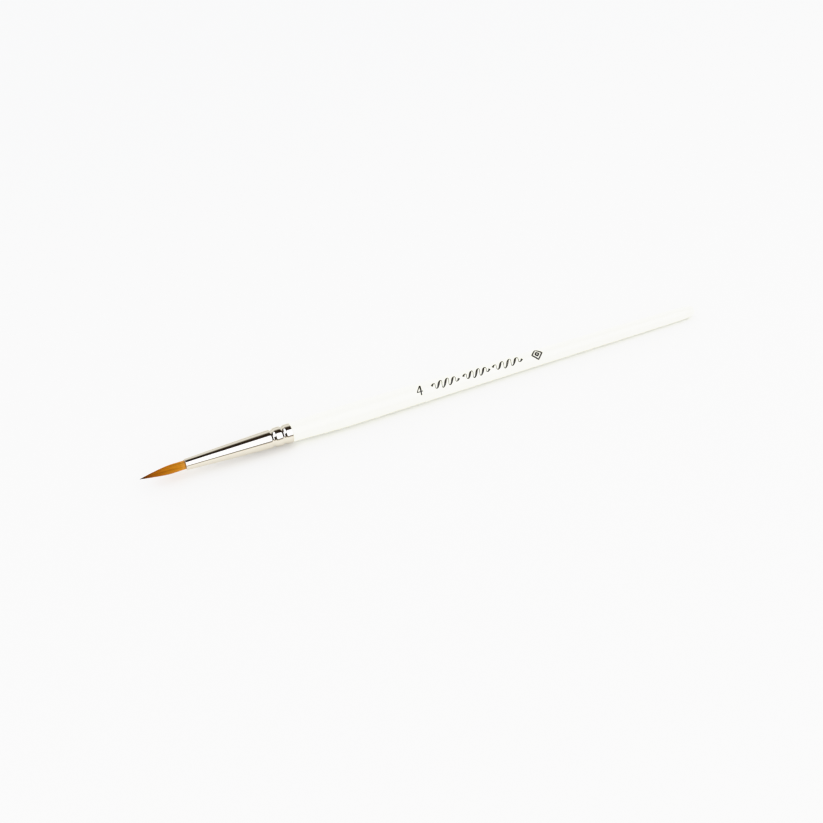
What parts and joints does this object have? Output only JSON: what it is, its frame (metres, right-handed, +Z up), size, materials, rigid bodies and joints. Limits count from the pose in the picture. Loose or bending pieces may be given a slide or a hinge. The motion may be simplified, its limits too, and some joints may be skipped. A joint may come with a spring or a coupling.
{
  "type": "fine detail brush",
  "caption": "Round pointed detail brush: a tapered tuft of fine hair in a crimped plated metal ferrule on a slim lacquered wooden handle.",
  "frame": {"origin": "centre of the bounding box in plan, on the level of the handle's lowest line, where its belly rests", "axes": "+Z up; +X along the brush's axis from the hair's tip towards the handle's blunt end; +Y completes the right-handed set"},
  "size_m": [0.19, 0.007, 0.007],
  "materials": {
    "ferrule_metal": "polished",
    "handle_wood": "satin",
    "white_lacquer": "satin",
    "handle_glue": "satin",
    "hair": "satin",
    "thread": "matte",
    "resin": "gloss",
    "print_ink": "satin"
  },
  "bodies": {
    "handle": {"ferrule": "ferrule_metal", "handle_core": "handle_wood", "handle_lacquer": "white_lacquer", "handle_glue": "handle_glue", "hair_root": "hair", "binding_thread": "thread", "resin_plug": "resin"},
    "tuft": {"hair_tuft": "hair"}
  },
  "joints": [
    {"name": "tuft_bend", "type": "hinge", "parent": "handle", "child": "tuft", "pos_m": [-0.0828, 0, 0.0035], "axis": [0, 0, 1], "range_deg": [-40, 40], "stiffness_Nm_per_rad": 0.002}
  ]
}
